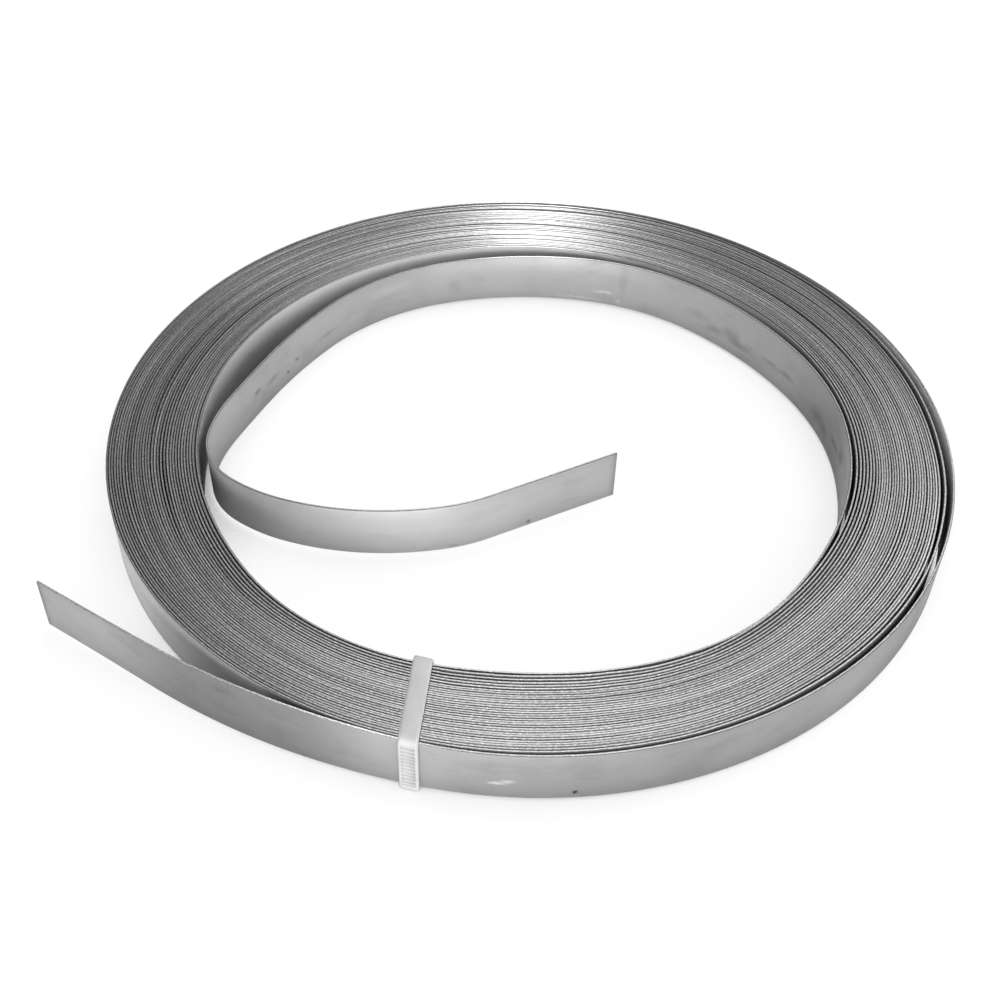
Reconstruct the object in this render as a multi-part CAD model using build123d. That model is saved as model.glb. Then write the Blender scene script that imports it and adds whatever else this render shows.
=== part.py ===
from build123d import *
from math import cos, radians, sin, sqrt
import os

# Roll of stainless steel strapping, lying flat and held by one cable tie.
# Millimetres, +Z up. The origin is in the middle of the roll, on the floor that it lies on.
# Seen from above, the strap runs anticlockwise from its outer end in towards the bore.

# Strap and winding
strap_width = 15.9
strap_thickness = 0.64
turn_gap = 0.093
wound_turns = 30
# The wound turns are a ring, but its bore lies off the middle of its outside
bore_radius = 94.9
bore_centre = (0.1, -2.7)
pack_centre = (-1.0, 0)

# Turns as they show on the two ends: one groove stands for this many turns of the pack
turns_per_groove = 4
groove_depth = 0.4
# A loose turn has slipped this far below the tight ones
loose_drop = 0.15

# The two outermost turns stand off the turns inside them towards +X, and sink in at -X.
# The end of the outermost one leaves the roll as a tail.
second_standoff = 1.5
second_seam_sink = 0.3
outer_standoff = 2.5
outer_seam_sink = 0.24
outer_seam_angle = 190
lift_off_angle = 259
tail_arc_radius = 213
tail_arc_angle = 19.65
tail_straight = 36

# The two innermost turns have come loose: one hangs off centre in the bore, and the last one
# peels away from it and folds back across the bore. They are one stretch of strap.
# Each pair is an angle about the bore's middle, in degrees, and how far inside the bore wall
# it runs. A round arc ends at each pair and goes on in the direction of the arc before.
loose_turn_start_heading = 29.9
loose_turn_route = [
    (298, -0.74), (312, 0.32), (326, 1.11), (345, 1.01), (20, 0.82), (60, 1.3), (100, 1.3),
    (140, 1.17), (175, 1.5), (202, 1.9), (222, 1.02), (242, 0.24),
]
peeled_route = [
    (260, 1.37), (274, 1.84), (288, 1.09), (302, 0.39), (316, 1.15), (337, 2.64), (0, 2.7),
    (25, 4.02), (52, 5.1), (80, 6.57), (110, 8.47), (140, 10.98), (162, 11.73), (177, 7.88),
    (186, 4.85), (193, 5.28), (200, 10.05), (209, 20.42), (224, 38.12), (240, 52.49),
    (254.85, 62.25),
]
# The last stretch of the inner end is straight
inner_end_length = 40

# Cable tie: where it crosses the winding, and how far it is turned from the radius there
tie_angle = 258
tie_skew = 9
tie_width = 4.8
tie_thickness = 1.2
tie_seat = 0.05
tie_slack = 0.4
tie_top_bend = 1.2
tie_floor_bend = 0.4
# Ratchet teeth, cut between two side rails
tooth_pitch = 1.25
tooth_depth = 0.45
rail_width = 0.7
# Locking head, on the bore side
head_width = 7.6
head_height = 7.4
head_depth = 5.2
head_round = 0.9
window_width = 5.2
window_height = 2.9
window_depth = 1.1
cut_end_height = 1.3
cut_end_length = 0.7

turn_pitch = strap_thickness + turn_gap
pack_radius = bore_radius + wound_turns * turn_pitch
strap_base = tie_thickness + tie_seat
pack_base = strap_base + loose_drop
pack_top = pack_base + strap_width


def on_circle(radius, angle, centre=(0, 0)):
    """The point at an angle, in degrees, on a circle about a centre."""
    return (
        centre[0] + radius * cos(radians(angle)),
        centre[1] + radius * sin(radians(angle)),
    )


def wound_circle(turns):
    """The circle that lies that many wound turns out from the bore wall."""
    share = turns / wound_turns
    radius = bore_radius + turns * turn_pitch
    x = bore_centre[0] + share * (pack_centre[0] - bore_centre[0])
    y = bore_centre[1] + share * (pack_centre[1] - bore_centre[1])
    return Pos(x, y, 0) * Circle(radius)


def groove(first_turn, height, depth):
    """A V groove round one end of the pack, from one turn out to the last that it covers."""
    valley = Pos(0, 0, height + depth) * wound_circle(first_turn + turns_per_groove / 2)
    inner_rim = Pos(0, 0, height) * wound_circle(first_turn)
    outer_rim = Pos(0, 0, height) * wound_circle(first_turn + turns_per_groove)
    outer_flank = loft([outer_rim, valley], ruled=True)
    inner_flank = loft([inner_rim, valley], ruled=True)
    return outer_flank - inner_flank


def wound_pack():
    """The tight turns: a ring round its off-centre bore, whose ends show the turns as grooves."""
    plan = wound_circle(wound_turns) - wound_circle(0)
    ring = extrude(Pos(0, 0, pack_base) * plan, strap_width)
    count = int((wound_turns - 1) / turns_per_groove)
    rim_turns = (wound_turns - count * turns_per_groove) / 2
    grooves = []
    for i in range(count):
        first_turn = rim_turns + i * turns_per_groove
        grooves.append(groove(first_turn, pack_top, -groove_depth))
        grooves.append(groove(first_turn, pack_base, groove_depth))
    return ring.cut(*grooves)


def ribbon(path):
    """The strap standing on its edge along a path in plan."""
    plan = trace(path, strap_thickness)
    return extrude(Pos(0, 0, strap_base) * plan, strap_width)


def stood_off(inside_radius, inside_centre, standoff, sink):
    """The middle of a turn that stands clear of a circle at +X and sinks into it at -X."""
    radius = inside_radius + (standoff - sink) / 2 + strap_thickness / 2
    centre = (inside_centre[0] + (standoff + sink) / 2, inside_centre[1])
    return radius, centre


second_radius, second_centre = stood_off(
    pack_radius, pack_centre, second_standoff, second_seam_sink)
outer_radius, outer_centre = stood_off(
    second_radius + strap_thickness / 2, second_centre, outer_standoff, outer_seam_sink)


def second_turn():
    """The next turn in: a full circle, as both its ends are sunk in its neighbours."""
    return ribbon(CenterArc(second_centre, second_radius, outer_seam_angle, 360))


def outer_turn():
    """The outermost turn with its tail: a straight end, a wide arc, then the turn."""
    lift_off = on_circle(outer_radius, lift_off_angle, outer_centre)
    sweep = 360 + outer_seam_angle - lift_off_angle
    turn = CenterArc(outer_centre, outer_radius, lift_off_angle, sweep)
    arc_centre = on_circle(outer_radius - tail_arc_radius, lift_off_angle, outer_centre)
    arc = CenterArc(arc_centre, tail_arc_radius, lift_off_angle, -tail_arc_angle)
    bend = on_circle(tail_arc_radius, lift_off_angle - tail_arc_angle, arc_centre)
    heading = lift_off_angle - tail_arc_angle - 90
    tip = on_circle(tail_straight, heading, bend)
    return ribbon(turn) + ribbon(arc) + ribbon(Line(bend, tip))


def arc_chain(points, heading):
    """Round arcs through the points, each going on in the direction of the one before."""
    arcs = []
    direction = on_circle(1, heading)
    for start, end in zip(points, points[1:]):
        arc = TangentArc(start, end, tangent=direction)
        arcs.append(arc)
        direction = arc % 1
    return arcs


def inner_turns():
    """The loose turns: they leave the bore wall, hang in the bore and end in a straight tail."""
    stations = loose_turn_route + peeled_route
    points = [on_circle(bore_radius - inset, angle, bore_centre) for angle, inset in stations]
    arcs = arc_chain(points, loose_turn_start_heading)
    bend = arcs[-1] @ 1
    tip = bend + inner_end_length * (arcs[-1] % 1)
    ribbons = [ribbon(path) for path in arcs + [Line(bend, tip)]]
    return ribbons[0].fuse(*ribbons[1:])


steel_strap = wound_pack() + second_turn() + outer_turn() + inner_turns()


# The tie's own frame: X runs outwards across the winding, Y across the band, Z up.
outer_face = outer_radius + strap_thickness / 2
tie_middle = on_circle((bore_radius + outer_face) / 2, tie_angle)
tie_heading = tie_angle + tie_skew


def reach(radius, centre, half_width):
    """How far outwards along the tie a circle lies, at each side of a piece of that width."""
    ahead = on_circle(1, tie_heading)
    across = on_circle(1, tie_heading + 90)
    found = []
    for side in (-half_width, half_width):
        x = tie_middle[0] + side * across[0] - centre[0]
        y = tie_middle[1] + side * across[1] - centre[1]
        along = x * ahead[0] + y * ahead[1]
        found.append(sqrt(along**2 - x**2 - y**2 + radius**2) - along)
    return found


# The band clears the outer turn, and the wider head clears the innermost one.
inner_face = bore_radius - peeled_route[0][1] - strap_thickness / 2
tie_out = max(reach(outer_face, outer_centre, tie_width / 2)) + tie_slack
tie_in = min(reach(inner_face, bore_centre, head_width / 2)) - tie_slack
tie_roof = pack_top + tie_slack


def loop_section(grow, top_bend, floor_bend):
    """The band's outline in its own plane, grown outwards from its inner face."""
    left, right = tie_in - grow, tie_out + grow
    low, high = tie_thickness - grow, tie_roof + grow
    box = make_face(Polyline((left, low), (right, low), (right, high), (left, high), close=True))
    top = box.vertices().filter_by(lambda v: v.Y > strap_base + strap_width / 2)
    box = fillet(top, top_bend + grow)
    floor = box.vertices().filter_by(lambda v: v.Y < tie_thickness + floor_bend / 2)
    return fillet(floor, floor_bend + grow)


def band_loop():
    """The closed band round the winding."""
    outside = loop_section(tie_thickness, tie_top_bend, tie_floor_bend)
    inside = loop_section(0, tie_top_bend, tie_floor_bend)
    return extrude(Plane.XZ * (outside - inside), tie_width / 2, both=True)


def ratchet_teeth():
    """What the teeth leave open on the outer run: one slanted cut for each tooth."""
    face = tie_out + tie_thickness
    lowest = tie_thickness + tie_floor_bend
    highest = tie_roof - tie_top_bend / 2
    count = int((highest - lowest) / tooth_pitch)
    cuts = []
    for i in range(count):
        z = highest - (i + 1) * tooth_pitch
        corners = [(face - tooth_depth, z), (face + tooth_depth, z),
                   (face + tooth_depth, z + tooth_pitch), (face, z + tooth_pitch)]
        tooth = Plane.XZ * make_face(Polyline(*corners, close=True))
        cuts.append(extrude(tooth, tie_width / 2 - rail_width, both=True))
    return cuts


def locking_head():
    """The head on the bore side, with the band's cut end showing in its window."""
    back = tie_in
    front = back - head_depth
    low = tie_thickness
    middle = low + head_height / 2
    head = Pos((back + front) / 2, 0, middle) * Box(head_depth, head_width, head_height)
    rounded = head.edges().filter_by(lambda e: e.center().X < back - head_depth / 4)
    head = fillet(rounded, head_round)
    window = Pos(front + window_depth / 2, 0, middle)
    head -= window * Box(window_depth, window_width, window_height)
    stub_length = window_depth + cut_end_length
    stub = Pos(front + window_depth - stub_length / 2, 0, middle)
    return head + stub * Box(stub_length, tie_width, cut_end_height)


band = band_loop() - ratchet_teeth()
tie_place = Pos(tie_middle[0], tie_middle[1], 0) * Rot(0, 0, tie_heading)
cable_tie = tie_place * (band + locking_head())

os.makedirs("parts", exist_ok=True)
export_step(steel_strap, "parts/steel_strap.step")
export_step(cable_tie, "parts/cable_tie.step")
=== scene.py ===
import math
import random

import bmesh
import bpy
import numpy as np
from mathutils import Matrix, Vector


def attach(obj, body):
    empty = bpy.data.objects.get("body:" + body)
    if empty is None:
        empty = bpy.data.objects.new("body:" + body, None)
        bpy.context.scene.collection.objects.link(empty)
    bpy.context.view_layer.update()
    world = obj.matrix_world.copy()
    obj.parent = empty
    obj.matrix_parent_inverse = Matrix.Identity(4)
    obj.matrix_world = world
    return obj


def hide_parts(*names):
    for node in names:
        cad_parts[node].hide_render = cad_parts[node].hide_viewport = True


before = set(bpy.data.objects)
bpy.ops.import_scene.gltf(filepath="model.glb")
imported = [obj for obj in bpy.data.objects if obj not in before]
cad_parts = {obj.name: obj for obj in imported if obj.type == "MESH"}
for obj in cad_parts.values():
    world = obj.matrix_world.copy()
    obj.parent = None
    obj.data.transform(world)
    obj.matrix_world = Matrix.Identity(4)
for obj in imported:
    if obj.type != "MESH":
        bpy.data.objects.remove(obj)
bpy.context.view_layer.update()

# Roll of steel strapping: the whole strap is wound here as one strip, and the tie is shaped.
# Lengths are in millimetres and angles in degrees, unless a comment says otherwise.
MM = 0.001
FULL_TURN = 360

# The strap, as in the CAD model
strap_width = 15.9
strap_thickness = 0.64
strap_base = 1.25
edge_round = 0.12

# The wound turns run anticlockwise from where the outer end lifts off in to the loose turns.
lift_off_angle = 259
wound_turns = 32
stations_per_turn = 300
outer_centre = (1.27, 0)
outer_radius = 119.58
# From here on each turn sinks to its place under the one outside it
seam_start = 120

# The outer end: the turn goes on as a wide arc and a straight tail.
tail_arc_radius = 213
tail_arc_angle = 19.65
tail_straight = 36

# The loose inner turns: (angle, distance inside the bore wall), joined by tangent arcs
bore_radius = 94.9
bore_centre = (0.1, -2.7)
loose_start_angle = 298
loose_start_heading = 29.9
loose_route = [
    (298, -0.74), (312, 0.32), (326, 1.11), (345, 1.01), (20, 0.82), (60, 1.3), (100, 1.3),
    (140, 1.17), (175, 1.5), (202, 1.9), (222, 1.02), (242, 0.24), (260, 1.37), (274, 1.84),
    (288, 1.09), (302, 0.39), (316, 1.15), (337, 2.64), (0, 2.7), (25, 4.02), (52, 5.1),
    (80, 6.57), (110, 8.47), (140, 10.98), (162, 11.73), (177, 7.88), (186, 4.85), (193, 5.28),
    (200, 10.05), (209, 20.42), (224, 38.12), (240, 52.49), (254.85, 62.25),
]
inner_end_length = 40

# Distance from the axis of the last wound turn, from the lift-off angle to the loose route
last_turn_radii = [(259, 97.2), (267, 96.8), (274, 96.7), (282, 97.1), (291, 97.85), (298, 97.95)]
# How far round past its first full turn the loose route is still followed
loose_overlap = 5

# Gaps that stand open between turns, by how far round they lie: those inside the two turns
# that stand off, and those inside the last turns at the front
stood_off_turns = 2
outermost_gap = [
    (259, 0.35), (285, 0.6), (300, 1.0), (315, 1.1), (330, 1.1), (345, 1.5), (360, 2.1),
    (380, 2.1), (400, 1.6), (420, 1.35), (450, 1.25), (480, 0.85), (510, 0.4), (540, 0.1),
    (580, 0.04), (600, 0.1), (619, 0.35),
]
second_gap = [
    (259, 0.08), (290, 0.15), (310, 0.3), (330, 0.45), (350, 0.95), (370, 1.3), (390, 1.1),
    (420, 0.7), (450, 0.65), (480, 0.35), (540, 0.05), (619, 0.08),
]
front_gap = [
    (259, 0.34), (300, 0.3), (330, 0.3), (350, 0.32), (370, 0.25), (400, 0.1), (540, 0.1),
    (560, 0.15), (575, 0.3), (619, 0.34),
]
front_gap_shares = [1.0, 0.9, 0.8, 0.7, 0.5]
tight_gap = 0.015
# The most of the air in the winding that these gaps may take up
most_open_share = 0.92

# The rest of the air is shared out by chance, in a few waves round the roll, and less of it
# goes to the last turns.
gap_waves = 5
least_wave, most_wave = 0.4, 1.1
last_turns_weight = 0.3
# Places where the winding has opened a little more: (turn, angle, half spread, weight)
opened_gaps = [
    (3, 455, 60, 4), (7, 450, 55, 3), (11, 460, 50, 3.5), (14, 450, 60, 6), (18, 445, 50, 3.5),
    (22, 455, 50, 4), (25, 450, 45, 2), (28, 440, 45, 2.5), (6, 350, 40, 2), (12, 330, 45, 2),
    (19, 345, 40, 2), (24, 320, 40, 2), (9, 540, 45, 3), (16, 560, 50, 3), (21, 530, 45, 2.5),
]
first_seed = 11

# Wound turns sit at slightly uneven heights, and their top edges slope a little. Both change
# slowly along the strap, and fade in and out over some stations at the ends of the winding.
pack_lift = 0.15
lift_middle, lift_swing = 0.6, 0.8
lift_step = 140
most_slope = 0.03
slope_step = 110
stations_to_pack, stations_past_pack = 200, 100
# Where the strap leans: how far its edges go, and half the length of strap that leans
peel_angle = 30
peel_lean, peel_lean_spread = 1.0, 110
tail_lean_place = 70
tail_lean, tail_lean_spread = 0.6, 60

# Material slots of the strip
OUTER_FACE, SLIT_EDGE, INNER_FACE = 0, 1, 2


def on_circle(radius, angle, centre=(0, 0)):
    """The point at an angle on a circle about a centre."""
    return np.array([
        centre[0] + radius * math.cos(math.radians(angle)),
        centre[1] + radius * math.sin(math.radians(angle)),
    ])


def reach(radius, centre, angles):
    """How far from the axis a circle about another centre lies, for an array of angles."""
    along = centre[0] * np.cos(np.radians(angles)) + centre[1] * np.sin(np.radians(angles))
    return along + np.sqrt(radius**2 - (centre[0]**2 + centre[1]**2) + along**2)


class Waver:
    """Slow random change along a length: a smooth curve through seeded values."""

    def __init__(self, seed, step, span):
        rng = random.Random(seed)
        self.step = step
        spare = 4
        self.values = [rng.uniform(-1, 1) for _ in range(int(span / step) + spare)]

    def at(self, place):
        i, t = divmod(place / self.step, 1)
        low = self.values[int(i)]
        high = self.values[int(i) + 1]
        blend = (1 - math.cos(math.pi * t)) / 2
        return low + (high - low) * blend


def smooth_step(values):
    """From 0 to 1 without a kink at either end."""
    values = np.clip(values, 0, 1)
    return values * values * (3 - 2 * values)


def through(points, angles):
    """A smooth curve through pairs of angle and value."""
    xs = np.array([p[0] for p in points], float)
    ys = np.array([p[1] for p in points], float)
    i = np.clip(np.searchsorted(xs, angles, side="right") - 1, 0, len(xs) - 2)
    share = smooth_step((angles - xs[i]) / (xs[i + 1] - xs[i]))
    return ys[i] + (ys[i + 1] - ys[i]) * share


def tail_points(step=2.0):
    """The outer end in plan, from its tip to the lift-off."""
    arc_centre = on_circle(outer_radius - tail_arc_radius, lift_off_angle, outer_centre)
    bend_angle = lift_off_angle - tail_arc_angle
    bend = on_circle(tail_arc_radius, bend_angle, arc_centre)
    heading = on_circle(1, bend_angle - 90)
    runs = int(tail_straight / step)
    points = [bend + heading * tail_straight * (1 - i / runs) for i in range(runs)]
    arcs = int(math.radians(tail_arc_angle) * tail_arc_radius / step)
    for i in range(arcs):
        angle = bend_angle + tail_arc_angle * i / arcs
        points.append(on_circle(tail_arc_radius, angle, arc_centre))
    return np.array(points)


def loose_points(step=2.2, turn_step=3.0):
    """The loose turns in plan, as arcs that each go on in the direction of the one before."""
    route = [on_circle(bore_radius - inset, angle, bore_centre) for angle, inset in loose_route]
    heading = math.radians(loose_start_heading)
    points = [route[0]]
    for start, end in zip(route, route[1:]):
        chord = end - start
        length = float(np.hypot(*chord))
        half = (math.atan2(chord[1], chord[0]) - heading + math.pi) % (2 * math.pi) - math.pi
        radius = length / (2 * math.sin(half))
        centre = start + radius * np.array([-math.sin(heading), math.cos(heading)])
        pieces = max(2, int(length / step), int(abs(math.degrees(2 * half)) / turn_step))
        for i in range(1, pieces + 1):
            turned = heading + 2 * half * i / pieces
            points.append(centre + radius * np.array([math.sin(turned), -math.cos(turned)]))
        heading += 2 * half
    ahead = np.array([math.cos(heading), math.sin(heading)])
    runs = int(inner_end_length / step)
    points += [route[-1] + ahead * inner_end_length * (i + 1) / runs for i in range(runs)]
    return np.array(points)


def last_turn_radius(angles, loose):
    """The last wound turn's distance from the axis: listed points, then the loose route."""
    turned = np.degrees(np.unwrap(np.arctan2(loose[:, 1], loose[:, 0])))
    turned += FULL_TURN * round((loose_start_angle - turned[0]) / FULL_TURN)
    within = int(np.argmax(turned > lift_off_angle + FULL_TURN + loose_overlap))
    routed = np.interp(angles, turned[:within], np.hypot(loose[:within, 0], loose[:within, 1]))
    return np.where(angles < loose_start_angle, through(last_turn_radii, angles), routed)


def gap_weights(angles):
    """How the air inside the winding is shared out between its turns, all the way round."""
    rng = random.Random(first_seed)
    rows = []
    for _ in range(wound_turns - 1):
        level = np.zeros(len(angles))
        for waves in range(1, gap_waves + 1):
            size = rng.uniform(least_wave, most_wave) / math.sqrt(waves)
            level += size * np.cos(np.radians(angles) * waves + rng.uniform(0, 2 * math.pi))
        rows.append(np.exp(level))
    weights = np.array(rows)
    for turn, middle, spread, weight in opened_gaps:
        offset = np.clip(np.abs(angles - middle) / spread, 0, 1)
        weights[turn] += weight * (1 + np.cos(np.pi * offset)) / 2
    return weights


def open_gaps(angles, air):
    """The stated gaps, one row a turn, held to their share of the air in the winding."""
    gaps = np.zeros((wound_turns, len(angles)))
    gaps[0] = through(outermost_gap, angles)
    gaps[1] = through(second_gap, angles)
    for i, share in enumerate(front_gap_shares):
        gaps[wound_turns - 2 - i] = share * through(front_gap, angles)
    return gaps * np.minimum(1, most_open_share * air / gaps.sum(axis=0))


def wound_radii(loose):
    """The strap's distance from the axis: one row a turn, one column an angle."""
    angles = lift_off_angle + FULL_TURN * np.arange(stations_per_turn) / stations_per_turn
    outermost = reach(outer_radius, outer_centre, angles)
    seam = smooth_step((angles - FULL_TURN - seam_start) / (lift_off_angle - seam_start))
    last_gap = front_gap[0][1]
    innermost = last_turn_radius(angles, loose) + seam * (strap_thickness + last_gap)
    air = outermost - innermost - (wound_turns - 1) * (strap_thickness + tight_gap)
    gaps = open_gaps(angles, air)
    left = air - gaps.sum(axis=0)
    weights = gap_weights(angles)
    weights[:stood_off_turns] = 0
    weights[wound_turns - 1 - len(front_gap_shares):] *= last_turns_weight
    gaps[:-1] += left * weights / weights.sum(axis=0)
    gaps += tight_gap
    gaps[-1] = last_gap
    pitches = gaps + strap_thickness
    inwards = np.cumsum(pitches, axis=0) - pitches
    return angles, outermost - inwards - seam * pitches


def wound_points(loose):
    """The wound turns in plan, from the lift-off to where the loose route starts."""
    angles, radii = wound_radii(loose)
    steps = np.radians(np.concatenate([angles] * wound_turns))
    radii = radii.ravel()
    count = (wound_turns - 1) * stations_per_turn
    count += int((loose_start_angle - lift_off_angle) / FULL_TURN * stations_per_turn)
    steps, radii = steps[:count], radii[:count]
    return np.stack([radii * np.cos(steps), radii * np.sin(steps)], axis=1)


def hump(place, middle, spread):
    """A smooth hump along the strap: 1 in the middle, 0 from the spread on."""
    offset = abs(place - middle) / spread
    return 0 if offset >= 1 else (1 + math.cos(math.pi * offset)) / 2


def strap_section():
    """The strap's cross-section: offsets outwards and up from its middle, edges rounded."""
    half = strap_thickness / 2
    high = strap_width / 2
    corner = edge_round
    return [
        (half, -high + corner), (half, high - corner),
        (half - corner, high), (-half + corner, high),
        (-half, high - corner), (-half, -high + corner),
        (-half + corner, -high), (half - corner, -high),
    ]


def strap_verts(plan, places, first_wound, last_wound):
    """The section's corners at each station of the strap, in metres."""
    ahead = np.gradient(plan, axis=0)
    ahead /= np.hypot(ahead[:, 0], ahead[:, 1])[:, None]
    outward = np.stack([ahead[:, 1], -ahead[:, 0]], axis=1)
    lift = Waver(first_seed, lift_step, places[-1])
    slope = Waver(first_seed + 1, slope_step, places[-1])
    turns_to_peel = 1 + (peel_angle - loose_start_angle + FULL_TURN) / FULL_TURN
    peel = places[last_wound] + 2 * math.pi * bore_radius * turns_to_peel
    lowest_middle = strap_base + strap_width / 2
    corners = strap_section()
    verts = []
    for i, (p, n) in enumerate(zip(plan, outward)):
        fade_in = max(0, (i - first_wound) / stations_to_pack)
        fade_out = max(0, (last_wound + stations_past_pack - i) / stations_to_pack)
        packed = min(1, fade_in, fade_out)
        lifted = packed * pack_lift * (lift_middle + lift_swing * lift.at(places[i]))
        middle = max(lowest_middle + lifted, lowest_middle)
        tilt = most_slope * slope.at(places[i]) * packed
        lean = peel_lean * hump(places[i], peel, peel_lean_spread)
        lean -= tail_lean * hump(places[i], tail_lean_place, tail_lean_spread)
        for out, up in corners:
            shift = out + lean * up / (strap_width / 2)
            top = up + (tilt * out if up > 0 else 0)
            x, y = p[0] + n[0] * shift, p[1] + n[1] * shift
            verts.append((x * MM, y * MM, (middle + top) * MM))
    return verts


def strap_faces(places):
    """The strip's faces, with a material slot and a place along and up the strap for each."""
    corners = strap_section()
    count = len(corners)
    kinds = [OUTER_FACE] + [SLIT_EDGE] * 3 + [INNER_FACE] + [SLIT_EDGE] * 3
    up_runs = [up + strap_width / 2 for out, up in corners] + [corners[0][1] + strap_width / 2]
    out_runs = [out + strap_thickness / 2 for out, up in corners] + [corners[0][0]]
    faces, maps, slots = [], [], []
    for i in range(len(places) - 1):
        a, b = i * count, (i + 1) * count
        s, t = places[i], places[i + 1]
        for j in range(count):
            k = (j + 1) % count
            faces.append((a + j, a + k, b + k, b + j))
            runs = out_runs if kinds[j] == SLIT_EDGE else up_runs
            maps += [(s, runs[j]), (s, runs[j + 1]), (t, runs[j + 1]), (t, runs[j])]
            slots.append(kinds[j])
    last = (len(places) - 1) * count
    faces.append(tuple(reversed(range(count))))
    faces.append(tuple(last + j for j in range(count)))
    maps += [(0, 0)] * count + [(places[-1], 0)] * count
    slots += [SLIT_EDGE, SLIT_EDGE]
    return faces, maps, slots


def strap_mesh():
    """The whole strap as one strip, with its length and height as its texture map."""
    tail = tail_points()
    loose = loose_points()
    wound = wound_points(loose)
    plan = np.concatenate([tail, wound, loose])
    steps = np.hypot(*np.diff(plan, axis=0).T)
    places = np.concatenate([[0], np.cumsum(steps)])
    verts = strap_verts(plan, places, len(tail), len(tail) + len(wound))
    faces, maps, slots = strap_faces(places)
    mesh = bpy.data.meshes.new("steel_strap_strip")
    mesh.from_pydata(verts, [], faces)
    layer = mesh.uv_layers.new(name="along")
    layer.data.foreach_set("uv", np.array(maps, np.float32).ravel() * MM)
    for polygon, slot in zip(mesh.polygons, slots):
        polygon.use_smooth = slot != SLIT_EDGE
        polygon.material_index = slot
    mesh.validate()
    return mesh


# Cable tie, a band round the winding that twists a little to lie flat against both sides
tie_width = 4.8
tie_thickness = 1.2
tie_outer_radius = 120.37
tie_outer_angle = 259.0
tie_inner_radius = 95.0
tie_inner_angle = 256.95
tie_top = 18.0
tie_top_bend = 2.0
tie_floor_bend = 0.62
tie_step = 0.16
tie_round = 0.32
bend_pieces = 6
# The twist is made between these distances from each side
twist_start, twist_length = 4.5, 4.2
# Ribs on the outer run, between two rails. A rib takes up a share of the pitch, and its top
# lies below the rails by a share of the depth.
tooth_pitch = 1.25
tooth_depth = 0.45
rib_share = 0.42
rib_drop = 0.15
rail_width = 0.75
rail_slope_out, rail_slope_in = 0.05, 0.1
lowest_rib, ribs_below_top = 2.2, 1.9
# The top run is a little thicker along its middle
crown_height = 0.12
crown_at_rail, crown_in_middle = 0.5, 0.7
# How close to a run's end still counts as on it, and how straight up it goes there
run_margin = 0.3
steep = 0.9

# Locking head: deep, wide, high
head_size = (5.2, 7.6, 7.4)
head_overlap = 0.3
head_round = 0.7
head_round_pieces = 4
window_frame = 1.0
window_taper = 0.1
window_depth = 1.1
# The band's cut end in the window: deep, wide, high, and how far out its middle stands
cut_end_size = (1.8, tie_width * 0.9, 1.3)
cut_end_out = 0.1


def tie_path():
    """The band's middle line as places across and up, each with its direction."""
    span = float(np.hypot(*(on_circle(tie_outer_radius, tie_outer_angle)
                            - on_circle(tie_inner_radius, tie_inner_angle))))
    low = tie_thickness / 2
    corners = [(span, low, tie_floor_bend), (span, tie_top, tie_top_bend),
               (0, tie_top, tie_top_bend), (0, low, tie_floor_bend)]
    points = []
    for i, (x, z, bend) in enumerate(corners):
        before = corners[i - 1]
        after = corners[(i + 1) % len(corners)]
        arrive = np.array([np.sign(x - before[0]), np.sign(z - before[1])])
        leave = np.array([np.sign(after[0] - x), np.sign(after[1] - z)])
        corner = np.array([x, z], float)
        pivot = corner - arrive * bend + leave * bend
        for step in range(bend_pieces + 1):
            turn = math.pi / 2 * step / bend_pieces
            place = pivot - leave * bend * math.cos(turn) + arrive * bend * math.sin(turn)
            points.append((place, arrive * math.cos(turn) + leave * math.sin(turn)))
        goal = np.array(after[:2], float) - leave * after[2]
        start = corner + leave * bend
        pieces = int(np.hypot(*(goal - start)) / tie_step)
        for step in range(1, pieces):
            points.append((start + (goal - start) * step / pieces, leave))
    return points, span


def tie_section(height, on_outer_run, on_top_run):
    """Offsets across the band and outwards: rounded, ribbed between rails on the outer run."""
    half = tie_width / 2
    thick = tie_thickness / 2
    corner = tie_round
    inner = half - rail_width
    tooth = 0.0
    if on_outer_run and lowest_rib < height < tie_top - ribs_below_top:
        share = (height / tooth_pitch) % 1
        tooth = tooth_depth * (rib_drop if share < rib_share else 1)
    crown = crown_height if on_top_run else 0.0
    rail = thick + crown * crown_at_rail
    floor = thick + crown * crown_in_middle - tooth
    return [
        (-half, -thick + corner), (-half, thick - corner), (-half + corner, thick),
        (-inner - rail_slope_out, rail), (-inner + rail_slope_in, floor),
        (inner - rail_slope_in, floor), (inner + rail_slope_out, rail),
        (half - corner, thick), (half, thick - corner), (half, -thick + corner),
        (half - corner, -thick), (-half + corner, -thick),
    ]


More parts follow.
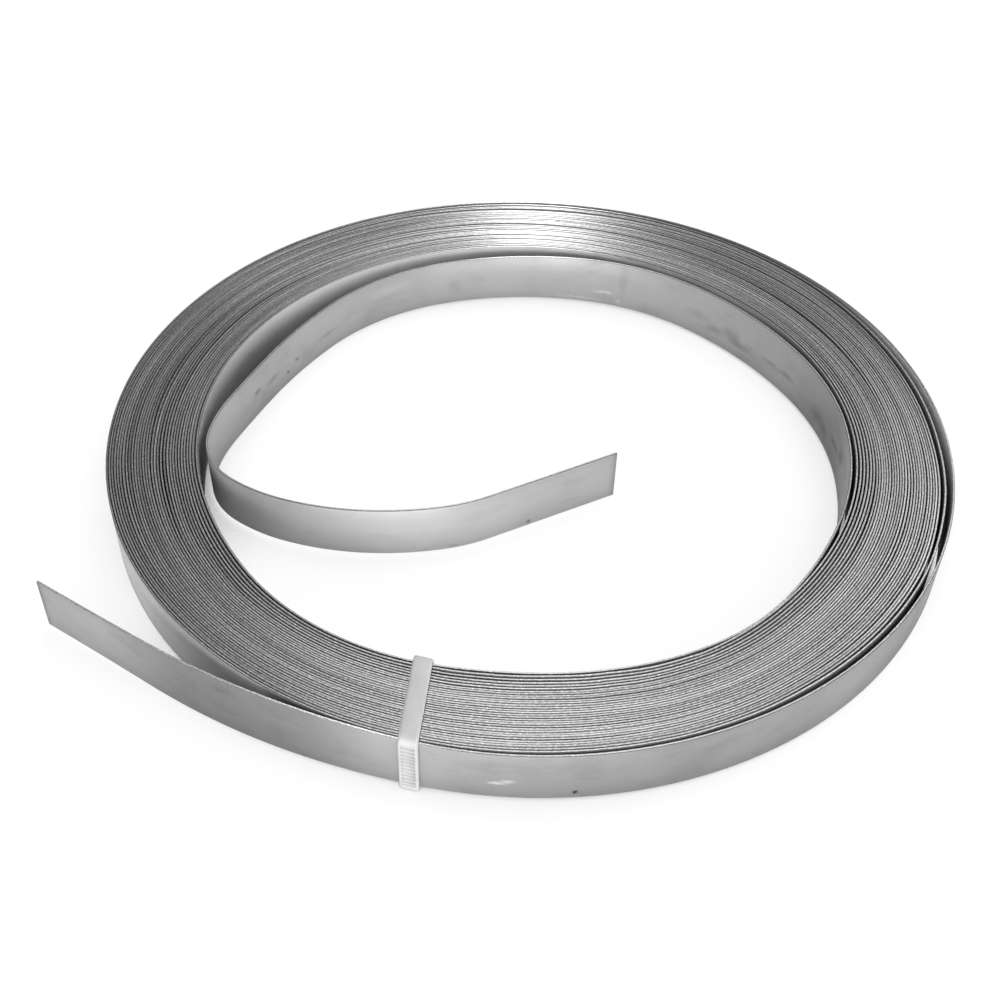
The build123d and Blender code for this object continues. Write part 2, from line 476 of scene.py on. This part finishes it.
def tie_band():
    """The band's loop: its width turns from the inner run's direction to the outer run's."""
    path, span = tie_path()
    inner = on_circle(tie_inner_radius, tie_inner_angle)
    outer = on_circle(tie_outer_radius, tie_outer_angle)
    across = (outer - inner) / span
    crossing = math.degrees(math.atan2(across[1], across[0])) % FULL_TURN
    verts = []
    for place, ahead in path:
        plan = inner + across * place[0]
        near_outer = float(smooth_step((place[0] - span + twist_start) / twist_length))
        near_inner = float(smooth_step((twist_start - place[0]) / twist_length))
        facing = crossing + (tie_outer_angle - crossing) * near_outer
        facing += (tie_inner_angle - crossing) * near_inner
        outwards = on_circle(1, facing)
        sideways = np.array([-outwards[1], outwards[0], 0])
        forwards = np.array([outwards[0] * ahead[0], outwards[1] * ahead[0], ahead[1]])
        normal = np.cross(sideways, forwards)
        on_outer_run = place[0] > span - run_margin and abs(ahead[1]) > steep
        on_top_run = place[1] > tie_top - run_margin
        middle = np.array([plan[0], plan[1], place[1]])
        for side, out in tie_section(place[1], on_outer_run, on_top_run):
            verts.append((middle + sideways * side + normal * out) * MM)
    count = len(tie_section(0, False, False))
    rings = len(path)
    faces = []
    for i in range(rings):
        a, b = i * count, ((i + 1) % rings) * count
        for j in range(count):
            k = (j + 1) % count
            faces.append((a + j, b + j, b + k, a + k))
    return [tuple(v) for v in verts], faces


def front_face(work, ahead):
    """The large face of the head that looks into the bore."""
    least_area = 8 * MM * MM
    least_facing = 0.99

    def score(face):
        faces_bore = face.normal.dot(ahead) > least_facing and face.calc_area() > least_area
        return face.calc_center_median().dot(ahead) if faces_bore else -1

    work.faces.ensure_lookup_table()
    return max(work.faces, key=score)


def tie_head(work):
    """The locking head on the bore side: a rounded box with a window and the cut end in it."""
    deep, wide, high = head_size
    outwards = on_circle(1, tie_inner_angle)
    head_radius = tie_inner_radius - tie_thickness / 2 - deep / 2 + head_overlap
    middle = on_circle(head_radius, tie_inner_angle)
    turn = Matrix.Rotation(math.radians(tie_inner_angle), 4, "Z")
    place = Matrix.Translation(Vector((middle[0], middle[1], tie_thickness + high / 2)) * MM)
    box = Matrix.Diagonal((deep * MM, wide * MM, high * MM, 1))
    made = bmesh.ops.create_cube(work, size=1, matrix=place @ turn @ box)
    # Each edge once, although two corners share it
    edges = list(dict.fromkeys(edge for vert in made["verts"] for edge in vert.link_edges))
    bmesh.ops.bevel(work, geom=edges, offset=head_round * MM, segments=head_round_pieces,
                    affect="EDGES", profile=0.5)
    front = front_face(work, Vector((-outwards[0], -outwards[1], 0)))
    bmesh.ops.inset_individual(work, faces=[front], thickness=window_frame * MM, depth=0)
    bmesh.ops.inset_individual(work, faces=[front], thickness=window_taper * MM,
                               depth=-window_depth * MM)
    out = Matrix.Translation(Vector((-deep / 2 - cut_end_out, 0, 0)) * MM)
    box = Matrix.Diagonal([size * MM for size in cut_end_size] + [1])
    bmesh.ops.create_cube(work, size=1, matrix=place @ turn @ out @ box)


def tie_mesh():
    verts, faces = tie_band()
    mesh = bpy.data.meshes.new("cable_tie_loop")
    mesh.from_pydata(verts, [], faces)
    work = bmesh.new()
    work.from_mesh(mesh)
    for face in work.faces:
        face.smooth = True
    tie_head(work)
    bmesh.ops.recalc_face_normals(work, faces=work.faces)
    work.to_mesh(mesh)
    work.free()
    return mesh


def new_material(name):
    material = bpy.data.materials.new(name)
    material.use_nodes = True
    tree = material.node_tree
    shader = tree.nodes["Principled BSDF"]
    return material, tree, shader


def add(tree, kind, **values):
    """A node with its settings."""
    node = tree.nodes.new(kind)
    for name, value in values.items():
        setattr(node, name, value)
    return node


def noise(tree, vector, scale=1.0, detail=3.0, roughness=0.5):
    node = add(tree, "ShaderNodeTexNoise")
    node.inputs["Scale"].default_value = scale
    node.inputs["Detail"].default_value = detail
    node.inputs["Roughness"].default_value = roughness
    tree.links.new(vector, node.inputs["Vector"])
    return node.outputs["Fac"]


def stretched(tree, vector, scale, shift=(0, 0, 0)):
    node = add(tree, "ShaderNodeMapping")
    node.inputs["Scale"].default_value = scale
    node.inputs["Location"].default_value = shift
    tree.links.new(vector, node.inputs["Vector"])
    return node.outputs["Vector"]


def remap(tree, value, source, goal):
    """A value carried over from one range to another, and held to its ends."""
    node = add(tree, "ShaderNodeMapRange")
    for name, number in zip(("From Min", "From Max", "To Min", "To Max"), source + goal):
        node.inputs[name].default_value = number
    tree.links.new(value, node.inputs["Value"])
    return node.outputs["Result"]


def vary(tree, cloud, goal):
    """A noise spread over a range: most of its values lie between 0.3 and 0.7."""
    return remap(tree, cloud, (0.3, 0.7), goal)


def math_node(tree, operation, first, second):
    node = add(tree, "ShaderNodeMath", operation=operation)
    for socket, value in zip(node.inputs, (first, second)):
        if isinstance(value, (int, float)):
            socket.default_value = value
        else:
            tree.links.new(value, socket)
    return node.outputs["Value"]


def plus(tree, first, second):
    return math_node(tree, "ADD", first, second)


def times(tree, first, second):
    return math_node(tree, "MULTIPLY", first, second)


def larger(tree, first, second):
    return math_node(tree, "MAXIMUM", first, second)


def grey(tree, value):
    node = add(tree, "ShaderNodeCombineColor")
    for socket in node.inputs[:3]:
        tree.links.new(value, socket)
    return node.outputs["Color"]


def split(tree, vector):
    """The X, Y and Z of a vector."""
    node = add(tree, "ShaderNodeSeparateXYZ")
    tree.links.new(vector, node.inputs["Vector"])
    return node.outputs["X"], node.outputs["Y"], node.outputs["Z"]


def along(tree):
    """Place on the strap, in metres along it and up it, or across it on the slit edges."""
    return add(tree, "ShaderNodeUVMap", uv_map="along").outputs["UV"]


def relief(tree, shader, height, strength, distance):
    node = add(tree, "ShaderNodeBump")
    node.inputs["Strength"].default_value = strength
    node.inputs["Distance"].default_value = distance
    tree.links.new(height, node.inputs["Height"])
    tree.links.new(node.outputs["Normal"], shader.inputs["Normal"])


def painted_occlusion_shade(tree, distance, openness, darkest):
    """A painted shade factor: 1 on open material, down to a dark share where a neighbour stands
    within the distance.
    """
    shade = add(tree, "ShaderNodeAmbientOcclusion", samples=2, only_local=True)
    shade.inputs["Distance"].default_value = distance
    return remap(tree, shade.outputs["AO"], openness, (darkest, 1.0))


# Marks on the strap, and patches of painted light and shade, in metres along it and up it:
# (place, half size, change of tone)
outer_marks_and_painted_light = [
    ((0.1463, 0.0022), (0.0008, 0.0007), -0.35),
    # Painted highlight: a smudge's bright glint, as two bright patches
    ((0.1278, 0.0052), (0.0026, 0.0006), 0.28),
    ((0.1305, 0.0060), (0.0022, 0.0008), 0.22),
    # Painted light and shade: broad lighter and darker patches along the outer end
    ((0.0180, 0.0080), (0.0250, 0.0300), 0.05),
    ((0.0600, 0.0060), (0.0360, 0.0300), -0.16),
    ((0.1100, 0.0080), (0.0250, 0.0400), 0.06),
    ((0.1900, 0.0080), (0.1100, 0.0400), -0.06),
    # Painted light: the outermost turn's face beside the outer end is made lighter
    ((0.7600, 0.0030), (0.0500, 0.0130), 0.28),
    ((0.7800, 0.0040), (0.0450, 0.0180), 0.35),
    ((0.8300, 0.0080), (0.0250, 0.0300), 0.12),
    # Painted light: broad lighter patches on the loose turns' outer face
    ((21.9600, 0.0080), (0.0300, 0.0400), 0.04),
    ((22.0180, 0.0080), (0.0400, 0.0400), 0.15),
    ((22.0600, 0.0080), (0.0500, 0.0400), 0.06),
    ((22.0548, 0.0015), (0.0009, 0.0007), -0.30),
    ((22.0318, 0.0010), (0.0020, 0.0006), -0.15),
    ((22.0680, 0.0041), (0.0040, 0.0014), -0.05),
]
inner_marks_and_painted_light = [
    # Painted light: the upper inner face of the outermost turn, down in its gap, is made much
    # lighter
    ((0.3300, 0.0130), (0.1000, 0.0080), 0.70),
    # Painted light and shade: the loose turn's inner face is lighter along its top and darker
    # below
    ((21.3000, 0.0152), (0.1100, 0.0065), 0.25),
    ((21.3000, 0.0040), (0.1100, 0.0070), -0.15),
    # Painted light: broad lighter patches on the loose turns' inner face
    ((21.9100, 0.0080), (0.0500, 0.0400), 0.03),
    ((21.7950, 0.0080), (0.0600, 0.0400), 0.07),
    # A stained patch, made darker still as painted shade
    ((21.6740, 0.0060), (0.0280, 0.0110), -0.10),
    ((21.6765, 0.0043), (0.0035, 0.0020), -0.08),
    ((21.6678, 0.0062), (0.0060, 0.0012), -0.11),
    ((21.6595, 0.0077), (0.0030, 0.0028), -0.11),
    ((21.6823, 0.0053), (0.0050, 0.0030), -0.08),
    ((21.7020, 0.0063), (0.0040, 0.0012), -0.11),
    ((21.7099, 0.0058), (0.0050, 0.0010), -0.08),
    ((21.7242, 0.0044), (0.0050, 0.0016), -0.11),
    ((21.7284, 0.0064), (0.0045, 0.0022), -0.09),
    ((21.7347, 0.0046), (0.0040, 0.0014), -0.08),
    ((21.7423, 0.0071), (0.0050, 0.0018), -0.06),
    ((21.7703, 0.0101), (0.0020, 0.0080), -0.05),
    # Painted highlights: bright streaks and a bright spot low on the face
    ((21.7768, 0.0044), (0.0040, 0.0006), 0.18),
    ((21.7716, 0.0019), (0.0012, 0.0009), 0.14),
    ((21.7850, 0.0012), (0.0120, 0.0007), 0.12),
    ((21.8279, 0.0065), (0.0030, 0.0030), -0.05),
    ((21.8517, 0.0109), (0.0100, 0.0020), 0.05),
    ((21.8785, 0.0061), (0.0060, 0.0009), -0.08),
    ((21.8940, 0.0058), (0.0012, 0.0008), -0.18),
    ((21.8990, 0.0040), (0.0007, 0.0006), -0.33),
    ((21.9072, 0.0069), (0.0040, 0.0010), -0.11),
    ((21.9160, 0.0079), (0.0020, 0.0010), -0.18),
]
# The marks' outlines are uneven by this much, in metres, at this scale of noise
ragged_width = 0.0016
ragged_scale = 700
# Where a mark starts to fade and where it ends, as shares of its half size
mark_fade = (0.2, 1.1)


def ragged_edges(tree, uv):
    """The texture map shifted a little by noise, so that marks on it get uneven outlines."""
    cloud = add(tree, "ShaderNodeTexNoise")
    cloud.inputs["Scale"].default_value = ragged_scale
    tree.links.new(uv, cloud.inputs["Vector"])
    shift = add(tree, "ShaderNodeVectorMath", operation="MULTIPLY_ADD")
    tree.links.new(cloud.outputs["Color"], shift.inputs[0])
    shift.inputs[1].default_value = (ragged_width, ragged_width, 0)
    shift.inputs[2].default_value = (-ragged_width / 2, -ragged_width / 2, 0)
    place = add(tree, "ShaderNodeVectorMath", operation="ADD")
    tree.links.new(uv, place.inputs[0])
    tree.links.new(shift.outputs["Vector"], place.inputs[1])
    return place.outputs["Vector"]


def mark_on(tree, uv, place, size):
    """A soft-edged mark on the strap: 1 in its middle, 0 outside."""
    scale = (1 / size[0], 1 / size[1], 1)
    shift = (-place[0] / size[0], -place[1] / size[1], 0)
    moved = stretched(tree, uv, scale, shift)
    length = add(tree, "ShaderNodeVectorMath", operation="LENGTH")
    tree.links.new(moved, length.inputs[0])
    return remap(tree, length.outputs["Value"], mark_fade, (1.0, 0.0))


def steel_clouds(tree, uv):
    """Fine rolling lines, broad bands and stains, as noises stretched along the strap."""
    line_scale, band_scale, stain_scale = (9, 4600, 1), (26, 16, 1), (70, 130, 1)
    lines = noise(tree, stretched(tree, uv, line_scale), detail=2.0)
    bands = noise(tree, stretched(tree, uv, band_scale), detail=2.0)
    stains = noise(tree, stretched(tree, uv, stain_scale), detail=4.0, roughness=0.6)
    return lines, bands, stains


def rolled_steel(name, marks_and_painted_light, deep):
    """Bright rolled stainless: fine lines along the strap, soft stains and a smooth sheen.

    Shade is painted into it: it is dark in narrow gaps, and a deep face is darker in wide gaps
    too.
    """
    line_tones, band_tones = (0.32, 0.35), (-0.035, 0.035)
    stained, stain_tones = (0.5, 0.75), (0.0, -0.05)
    roughness, line_roughness = (0.44, 0.52), (-0.02, 0.02)
    metallic = 0.35
    line_strength, line_relief = 0.06, 0.00002
    material, tree, shader = new_material(name)
    uv = along(tree)
    lines, bands, stains = steel_clouds(tree, uv)
    colour = plus(tree, vary(tree, lines, line_tones), remap(tree, stains, stained, stain_tones))
    colour = plus(tree, colour, vary(tree, bands, band_tones))
    ragged = ragged_edges(tree, uv)
    # Marks on the steel, and patches of painted light and shade
    for place, size, change in marks_and_painted_light:
        colour = plus(tree, colour, times(tree, mark_on(tree, ragged, place, size), change))
    # Painted shade: darker where another turn stands close
    painted_narrow_gap_shade = painted_occlusion_shade(tree, distance=0.0025, openness=(0.35, 0.95), darkest=0.1)
    colour = times(tree, colour, painted_narrow_gap_shade)
    # Painted shade: a deep face is darker still where a wider gap closes it in
    if deep:
        painted_wide_gap_shade = painted_occlusion_shade(tree, distance=0.014, openness=(0.2, 0.55), darkest=0.25)
        colour = times(tree, colour, painted_wide_gap_shade)
    tree.links.new(grey(tree, colour), shader.inputs["Base Color"])
    rough = plus(tree, vary(tree, stains, roughness), vary(tree, lines, line_roughness))
    tree.links.new(rough, shader.inputs["Roughness"])
    shader.inputs["Metallic"].default_value = metallic
    relief(tree, shader, lines, line_strength, line_relief)
    return material


def painted_rim_shade_and_end_light(tree, uv):
    """A share of tone for the slit edges: painted shade at their rims, and painted light at the
    strap's end.
    """
    along_strap, across_edge, _ = split(tree, uv)
    off_middle = math_node(tree, "SUBTRACT", across_edge, strap_thickness / 2 * MM)
    off_middle = math_node(tree, "ABSOLUTE", off_middle, 0)
    rim_noise_scale, rim_noise_shift = (7, 1, 1), (3, 0, 0)
    rim_noise = noise(tree, stretched(tree, uv, rim_noise_scale, rim_noise_shift), detail=2.0)
    rim_range = (0.00014, 0.00024)
    rim_noise_range, rim_shade_depths = (0.38, 0.6), (0.5, 0.97)
    # Painted shade: the rims of the slit edges are darker, unevenly along the strap
    rim = times(tree, remap(tree, off_middle, rim_range, (0.0, 1.0)),
                remap(tree, rim_noise, rim_noise_range, rim_shade_depths))
    rim = math_node(tree, "SUBTRACT", 1.0, rim)
    # Painted light: the edge of the outer end, up to the lift-off, is made bright
    end_range, end_light_tones = (0.1, 0.13), (1.7, 0.0)
    return larger(tree, rim, remap(tree, along_strap, end_range, end_light_tones))


def slit_material():
    """The strap's slit edges: torn grain with tone that changes from turn to turn, and painted
    glints.
    """
    grain_scale, grain_range, grain_tones = (1100, 3000, 1), (0.32, 0.68), (0.24, 0.46)
    glint_range, glint_tones = (0.58, 0.75), (0.0, 0.22)
    turn_scale, turn_tones = (9, 30, 1), (-0.12, 0.12)
    roughness = (0.22, 0.3)
    grain_strength, grain_relief = 0.5, 0.00005
    material, tree, shader = new_material("strap_slit_edge")
    uv = along(tree)
    grain = noise(tree, stretched(tree, uv, grain_scale), roughness=0.6)
    tone = noise(tree, stretched(tree, uv, turn_scale))
    colour = plus(tree, remap(tree, grain, grain_range, grain_tones),
                  vary(tree, tone, turn_tones))
    # Painted highlights: bright glints where the grain is high
    colour = plus(tree, colour, remap(tree, grain, glint_range, glint_tones))
    colour = times(tree, colour, painted_rim_shade_and_end_light(tree, uv))
    tree.links.new(grey(tree, colour), shader.inputs["Base Color"])
    tree.links.new(vary(tree, tone, roughness), shader.inputs["Roughness"])
    shader.inputs["Metallic"].default_value = 1.0
    relief(tree, shader, grain, grain_strength, grain_relief)
    return material


def nylon_material():
    """Natural nylon: milky white with a soft sheen; painted shade makes it a little darker on top
    and between its ribs.
    """
    cloud_scale = 300
    tones, roughness = (0.49, 0.54), (0.34, 0.42)
    facing_up, painted_top_shade = (0.6, 0.95), (1.0, 0.8)
    inner_light, inner_light_reach = 0.4, 0.002
    material, tree, shader = new_material("tie_nylon")
    place = add(tree, "ShaderNodeTexCoord")
    cloud = noise(tree, place.outputs["Object"], cloud_scale, detail=2.0)
    colour = vary(tree, cloud, tones)
    # Painted shade: darker in the grooves between the ribs
    painted_rib_shade = painted_occlusion_shade(tree, distance=0.0009, openness=(0.5, 0.95), darkest=0.6)
    colour = times(tree, colour, painted_rib_shade)
    # Painted shade: faces that look up are made a little darker
    upwards = split(tree, place.outputs["Normal"])[2]
    colour = times(tree, colour, remap(tree, upwards, facing_up, painted_top_shade))
    tree.links.new(grey(tree, colour), shader.inputs["Base Color"])
    tree.links.new(vary(tree, cloud, roughness), shader.inputs["Roughness"])
    shader.inputs["Subsurface Weight"].default_value = inner_light
    shader.inputs["Subsurface Radius"].default_value = (inner_light_reach,) * 3
    return material


# How open the floor must be, and how bright it is in the steel's reflections: close to the
# roll, and in the open. The dimming close to the roll is painted shade.
reflected_openness, reflected_light = (0.35, 0.5), (0.1, 0.66)
# The same as the camera sees it: in a narrow gap, and in the open. The dimming in a gap is
# painted shade.
seen_openness, seen_light = (0.1, 0.35), (0.15, 1.0)
# How much of the floor's own light the camera sees. The rest shows the shadow.
floor_light_share = 0.85
floor_shade_distance = 0.02


def floor_material():
    """White to the camera and to reflections, with painted shade close to the roll and in narrow
    gaps, and the object's shadow kept faint.
    """
    material, tree, shader = new_material("white_floor")
    shader.inputs["Base Color"].default_value = (0.9, 0.9, 0.9, 1)
    shader.inputs["Roughness"].default_value = 1.0
    shader.inputs["Specular IOR Level"].default_value = 0.0
    shade = add(tree, "ShaderNodeAmbientOcclusion", samples=3)
    shade.inputs["Distance"].default_value = floor_shade_distance
    openness = shade.outputs["AO"]
    path = add(tree, "ShaderNodeLightPath").outputs
    # Painted shade: the floor glows less in reflections where the roll closes it in
    mirrored = remap(tree, openness, reflected_openness, reflected_light)
    # Painted shade: the camera sees the floor darkened in narrow gaps
    seen = times(tree, path["Is Camera Ray"], remap(tree, openness, seen_openness, seen_light))
    bright = add(tree, "ShaderNodeEmission")
    tree.links.new(larger(tree, mirrored, seen), bright.inputs["Strength"])
    reflected = larger(tree, path["Is Glossy Ray"], path["Is Transmission Ray"])
    share = larger(tree, times(tree, path["Is Camera Ray"], floor_light_share), reflected)
    mix = add(tree, "ShaderNodeMixShader")
    tree.links.new(share, mix.inputs["Fac"])
    tree.links.new(shader.outputs["BSDF"], mix.inputs[1])
    tree.links.new(bright.outputs["Emission"], mix.inputs[2])
    tree.links.new(mix.outputs["Shader"], tree.nodes["Material Output"].inputs["Surface"])
    return material


def make_strap():
    strap = bpy.data.objects.new("steel_strap_strip", strap_mesh())
    bpy.context.scene.collection.objects.link(strap)
    strap.data.materials.append(rolled_steel("strap_outer_face", outer_marks_and_painted_light, False))
    strap.data.materials.append(slit_material())
    strap.data.materials.append(rolled_steel("strap_inner_face", inner_marks_and_painted_light, True))
    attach(strap, "root")
    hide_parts("steel_strap")


def make_tie():
    tie = bpy.data.objects.new("cable_tie_loop", tie_mesh())
    bpy.context.scene.collection.objects.link(tie)
    tie.data.materials.append(nylon_material())
    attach(tie, "root")
    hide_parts("cable_tie")


def make_floor():
    size = 4.0
    mesh = bpy.data.meshes.new("floor")
    corners = [(-size, -size, 0), (size, -size, 0), (size, size, 0), (-size, size, 0)]
    mesh.from_pydata(corners, [], [(0, 1, 2, 3)])
    floor = bpy.data.objects.new("floor", mesh)
    bpy.context.scene.collection.objects.link(floor)
    floor.data.materials.append(floor_material())


# The studio, by direction: each pair of sides or heights goes with a pair of strengths.
# A height is 0 at the horizon and 1 overhead.
sky_heights, sky_light = (0.05, 0.4), (0.9, 0.48)
# A bright strip from front to back that ends below the zenith
strip_sides, strip_fade = (0.02, 0.2), (1.0, 0.0)
strip_heights, strip_light = (0.5, 0.8), (0.1, 3.0)
zenith_heights, zenith_share = (0.86, 0.94), (1.0, 0.15)
# A bright patch high up on the right
patch_sides, patch_light = (0.18, 0.32), (0.0, 2.6)
patch_heights, patch_fade = (0.54, 0.66), (0.0, 1.0)


def make_world():
    """White at the horizon, greyer above, with a bright strip and a bright patch overhead."""
    world = bpy.data.worlds.new("studio")
    bpy.context.scene.world = world
    world.use_nodes = True
    tree = world.node_tree
    background = tree.nodes["Background"]
    x, _, z = split(tree, add(tree, "ShaderNodeTexCoord").outputs["Generated"])
    side = math_node(tree, "ABSOLUTE", x, 0)
    strip = times(tree, remap(tree, side, strip_sides, strip_fade),
                  remap(tree, z, strip_heights, strip_light))
    strip = times(tree, strip, remap(tree, z, zenith_heights, zenith_share))
    sky = remap(tree, z, sky_heights, sky_light)
    patch = times(tree, remap(tree, x, patch_sides, patch_light),
                  remap(tree, z, patch_heights, patch_fade))
    level = plus(tree, plus(tree, sky, strip), patch)
    path = add(tree, "ShaderNodeLightPath")
    level = larger(tree, level, path.outputs["Is Camera Ray"])
    tree.links.new(grey(tree, level), background.inputs["Color"])
    background.inputs["Strength"].default_value = 1.0


def area_light(name, place, target, size, power):
    """A rectangular light that faces a target, in metres and watts."""
    data = bpy.data.lights.new(name, "AREA")
    data.shape = "RECTANGLE"
    data.size, data.size_y = size
    data.energy = power
    lamp = bpy.data.objects.new(name, data)
    bpy.context.scene.collection.objects.link(lamp)
    lamp.location = place
    lamp.rotation_euler = (Vector(target) - Vector(place)).to_track_quat("-Z", "Y").to_euler()


def make_lights():
    area_light("back", place=(0, 1.13, 0.64), target=(0, 0.1, 0), size=(0.07, 0.07), power=1.05)
    area_light("front", place=(0, -1.2, 0.35), target=(0, 0, 0), size=(1.0, 0.35), power=10)


def make_camera():
    """The photograph's view: a long lens, from in front and 41 degrees above."""
    distance = 401.36
    # In radians
    elevation = 0.71669
    yaw, pitch, roll = 0.01930, -0.03169, -0.04328
    focal_pixels = 1350
    image_pixels = 1000
    aim = Vector((outer_centre[0], outer_centre[1], strap_base)) * MM
    back = Vector((0, -math.cos(elevation), math.sin(elevation)))
    ahead = -back
    right = Vector((1, 0, 0))
    up = right.cross(ahead)
    turn = Matrix.Rotation(yaw, 3, up)
    ahead, right = turn @ ahead, turn @ right
    turn = Matrix.Rotation(pitch, 3, right)
    ahead, up = turn @ ahead, turn @ up
    turn = Matrix.Rotation(roll, 3, ahead)
    right, up = turn @ right, turn @ up
    data = bpy.data.cameras.new("camera")
    data.sensor_width = 36
    data.lens = focal_pixels * data.sensor_width / image_pixels
    data.clip_start, data.clip_end = 0.01, 20
    camera = bpy.data.objects.new("camera", data)
    bpy.context.scene.collection.objects.link(camera)
    axes = Matrix((right, up, -ahead)).transposed()
    camera.matrix_world = Matrix.Translation(aim + back * distance * MM) @ axes.to_4x4()
    bpy.context.scene.camera = camera


make_strap()
make_tie()
make_floor()
make_world()
make_lights()
make_camera()
bpy.context.scene.view_settings.view_transform = "Standard"
